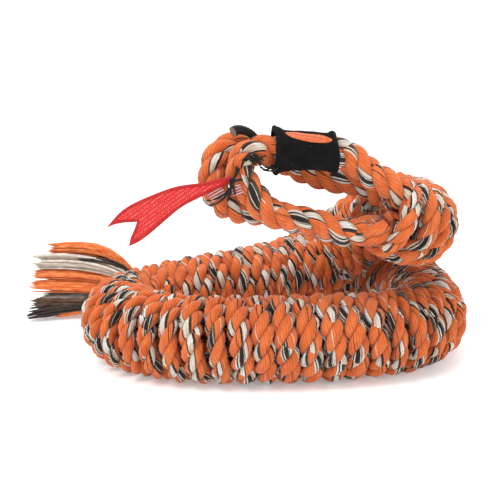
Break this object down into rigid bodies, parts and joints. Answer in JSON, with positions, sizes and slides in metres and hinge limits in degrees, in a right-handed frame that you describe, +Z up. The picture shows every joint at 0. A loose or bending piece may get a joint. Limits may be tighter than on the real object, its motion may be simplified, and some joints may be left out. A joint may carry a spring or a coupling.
{
  "type": "rope snake tug toy",
  "caption": "Thick wound cotton rope body coiled on the floor, raised head of rope loops with a black sleeve and red forked tongue, and a frayed yarn tail.",
  "frame": {"origin": "on the floor, under the centre of the bounding box of the coiled toy", "axes": "+Z up from the floor, +X along the straight front run from the tassel side towards the raised neck, +Y from the front run towards the tail"},
  "size_m": [0.2913, 0.2249, 0.1496],
  "materials": {
    "rope_winding": "wound three-strand cotton rope, orange with cream and black yarns",
    "core_cotton": "undyed cotton core rope",
    "head_rope": "three-strand cotton rope, orange with cream and black yarns",
    "sleeve_knit": "black knitted tube fabric",
    "patch_thread": "orange satin-stitch embroidery",
    "tongue_satin": "red embroidered twill",
    "label_weave": "woven tape, off-white",
    "black_tape": "black ribbed tape and thread",
    "yarn_orange": "brushed-out orange cotton yarn",
    "yarn_cream": "brushed-out cream cotton yarn",
    "yarn_dark": "brushed-out dark brown and black cotton yarn"
  },
  "bodies": {
    "coil": {"tail_winding": "rope_winding", "tail_run_winding": "rope_winding", "rear_winding": "rope_winding", "rear_bend_winding": "rope_winding", "right_winding": "rope_winding", "right_bend_winding": "rope_winding", "front_winding": "rope_winding", "left_bend_winding_1": "rope_winding", "left_bend_winding_2": "rope_winding", "left_bend_winding_3": "rope_winding", "back_run_winding": "rope_winding", "core_rope_a": "core_cotton", "core_rope_b": "core_cotton", "core_rope_c": "core_cotton", "tail_whipping": "black_tape"},
    "neck": {"upper_bend_winding_1": "rope_winding", "upper_bend_winding_2": "rope_winding", "upper_bend_winding_3": "rope_winding", "neck_winding": "rope_winding", "neck_core_rope_a": "core_cotton", "neck_core_rope_b": "core_cotton", "neck_core_rope_c": "core_cotton"},
    "head": {"near_jaw_loop": "head_rope", "far_jaw_loop": "head_rope", "cheek_knot": "black_tape", "crown_tape": "black_tape", "mouth_label_left": "label_weave", "mouth_label_right": "label_weave"},
    "head_sleeve": {"sleeve": "sleeve_knit", "sleeve_front_hem": "sleeve_knit", "sleeve_rear_hem": "sleeve_knit", "sleeve_patch": "patch_thread"},
    "tongue_flap": {"tongue": "tongue_satin"},
    "tassel": {"tassel_bundle_1": "yarn_orange", "tassel_bundle_2": "yarn_orange", "tassel_bundle_3": "yarn_orange", "tassel_bundle_4": "yarn_dark", "tassel_bundle_5": "yarn_orange", "tassel_bundle_6": "yarn_dark", "tassel_bundle_7": "yarn_dark", "tassel_bundle_8": "yarn_cream"}
  },
  "joints": [
    {"name": "neck_lift", "type": "hinge", "parent": "coil", "child": "neck", "pos_m": [0.0351, 0.0234, 0.038], "axis": [0.4856, -0.8742, 0], "range_deg": [0, 24]},
    {"name": "head_nod", "type": "hinge", "parent": "neck", "child": "head", "pos_m": [0.0821, -0.0836, 0.1005], "axis": [0, 1, 0], "range_deg": [-8, 7]},
    {"name": "sleeve_slide", "type": "slide", "parent": "head", "child": "head_sleeve", "axis": [0.9872, 0.1532, -0.0442], "range_m": [-0.003, 0.001]},
    {"name": "tongue_swing", "type": "hinge", "parent": "head", "child": "tongue_flap", "pos_m": [0.0025, -0.1092, 0.1196], "axis": [-0.4067, 0, 0.9136], "range_deg": [-10, 35], "stiffness_Nm_per_rad": 0.01},
    {"name": "tassel_sweep", "type": "hinge", "parent": "coil", "child": "tassel", "pos_m": [-0.0729, 0.0554, 0.0145], "axis": [0, 0, 1], "range_deg": [-15, 15], "stiffness_Nm_per_rad": 0.02}
  ]
}
